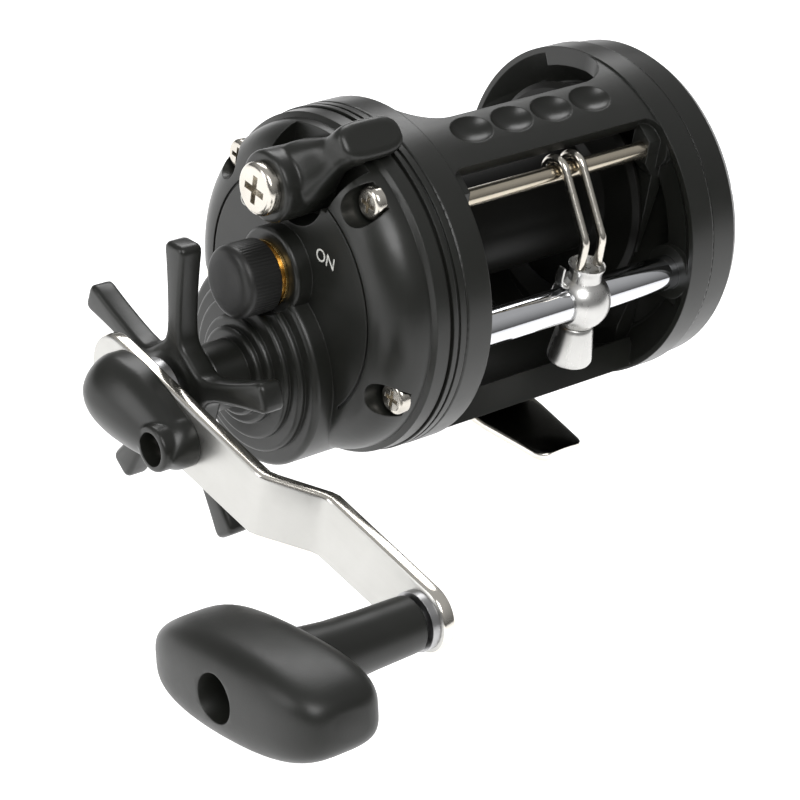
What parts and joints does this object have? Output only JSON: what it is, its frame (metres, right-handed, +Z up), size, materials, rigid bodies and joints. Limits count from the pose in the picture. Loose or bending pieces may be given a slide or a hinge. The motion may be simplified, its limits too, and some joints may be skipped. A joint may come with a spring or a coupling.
{
  "type": "trolling reel",
  "caption": "Level-wind trolling reel with side crank and paddle grip, star drag, free-spool lever, cast-control knob and stamped rod foot.",
  "frame": {"origin": "centre of the underside of the foot, where it rests on the rod", "axes": "+Z up from the rod, -Y towards the rod tip, -X the handle side"},
  "size_m": [0.1719, 0.1397, 0.0901],
  "materials": {
    "moulded_black": "semi-gloss moulded",
    "spool_black": "smooth",
    "grip_black": "fine matt",
    "knob_black": "fine knurl",
    "polished_steel": "polished",
    "steel": "machined",
    "nickel": "ground and plated",
    "chrome": "chrome plated",
    "brass": "turned",
    "nylon": "moulded",
    "drag_fibre": "woven fibre",
    "satin_aluminium": "satin with polished edges"
  },
  "bodies": {
    "frame": {"frame": "moulded_black", "foot": "polished_steel", "foot_rivets": "steel", "palm_plate": "moulded_black", "palm_plate_screws": "polished_steel", "palm_bearing": "steel", "palm_inner_plate": "moulded_black", "side_plate": "moulded_black", "side_bearing": "steel", "gear_cover": "moulded_black", "cover_screws": "polished_steel", "cast_collar": "brass", "guide_rod": "nickel", "levelwind_tube": "chrome", "worm_bushings": "nylon", "idler_stud": "steel", "yoke_posts": "steel"},
    "handle": {"gear_sleeve": "steel", "main_gear": "brass", "drag_washers": "drag_fibre", "metal_washers": "steel", "spacer_sleeve": "steel", "star_washer": "steel", "handle_arm": "satin_aluminium", "handle_nut": "steel", "nut_cap": "moulded_black", "nut_cap_screw": "polished_steel", "knob_post": "steel", "knob_screw": "polished_steel"},
    "star": {"star_wheel": "moulded_black"},
    "grip": {"grip": "grip_black"},
    "spool": {"spool": "spool_black", "spool_shaft": "steel", "spool_gear": "brass"},
    "yoke": {"yoke": "moulded_black"},
    "pinion": {"pinion": "brass"},
    "idler": {"idler_gear": "nylon"},
    "worm": {"worm_shaft": "brass", "worm_gear": "nylon"},
    "carriage": {"carriage": "chrome", "line_guide": "polished_steel", "pawl": "brass", "pawl_cap": "chrome"},
    "lever": {"lever": "moulded_black", "lever_screw": "polished_steel", "clutch_cam": "steel"},
    "cast_control": {"cast_knob": "knob_black"},
    "click_button": {"click_button": "moulded_black"}
  },
  "joints": [
    {"name": "handle_turn", "type": "hinge", "parent": "frame", "child": "handle", "pos_m": [-0.06, 0.0035, 0.0163], "axis": [1, 0, 0], "continuous": true},
    {"name": "star_turn", "type": "hinge", "parent": "handle", "child": "star", "pos_m": [-0.074, 0.0035, 0.0163], "axis": [1, 0, 0], "range_deg": [-300, 300]},
    {"name": "grip_turn", "type": "hinge", "parent": "handle", "child": "grip", "pos_m": [-0.1, -0.0784, 0.01229], "axis": [1, 0, 0], "continuous": true},
    {"name": "spool_turn", "type": "hinge", "parent": "frame", "child": "spool", "pos_m": [0, 0.0025, 0.0395], "axis": [1, 0, 0], "continuous": true},
    {"name": "yoke_slide", "type": "slide", "parent": "frame", "child": "yoke", "axis": [-1, 0, 0], "range_m": [0, 0.0026]},
    {"name": "pinion_turn", "type": "hinge", "parent": "yoke", "child": "pinion", "pos_m": [-0.042, 0.0025, 0.0395], "axis": [1, 0, 0], "continuous": true},
    {"name": "idler_turn", "type": "hinge", "parent": "frame", "child": "idler", "pos_m": [0.0365, -0.01301, 0.03557], "axis": [1, 0, 0], "continuous": true},
    {"name": "worm_turn", "type": "hinge", "parent": "frame", "child": "worm", "pos_m": [0, -0.03, 0.035], "axis": [1, 0, 0], "continuous": true},
    {"name": "carriage_slide", "type": "slide", "parent": "frame", "child": "carriage", "axis": [1, 0, 0], "range_m": [-0.022, 0.017]},
    {"name": "lever_turn", "type": "hinge", "parent": "frame", "child": "lever", "pos_m": [-0.05, 0.003, 0.06], "axis": [1, 0, 0], "range_deg": [-45, 0]},
    {"name": "cast_knob_turn", "type": "hinge", "parent": "frame", "child": "cast_control", "pos_m": [-0.062, 0.0025, 0.0395], "axis": [1, 0, 0], "range_deg": [-180, 180]},
    {"name": "click_slide", "type": "slide", "parent": "frame", "child": "click_button", "axis": [0, 1, 0], "range_m": [-0.0018, 0.0018]}
  ],
  "couplings": [
    {"joint": "spool_turn", "follows": "handle_turn", "ratio": -4},
    {"joint": "pinion_turn", "follows": "handle_turn", "ratio": -4},
    {"joint": "idler_turn", "follows": "handle_turn", "ratio": 0.92308},
    {"joint": "worm_turn", "follows": "handle_turn", "ratio": -3},
    {"joint": "yoke_slide", "follows": "lever_turn", "m_per_rad": -0.0031831}
  ]
}
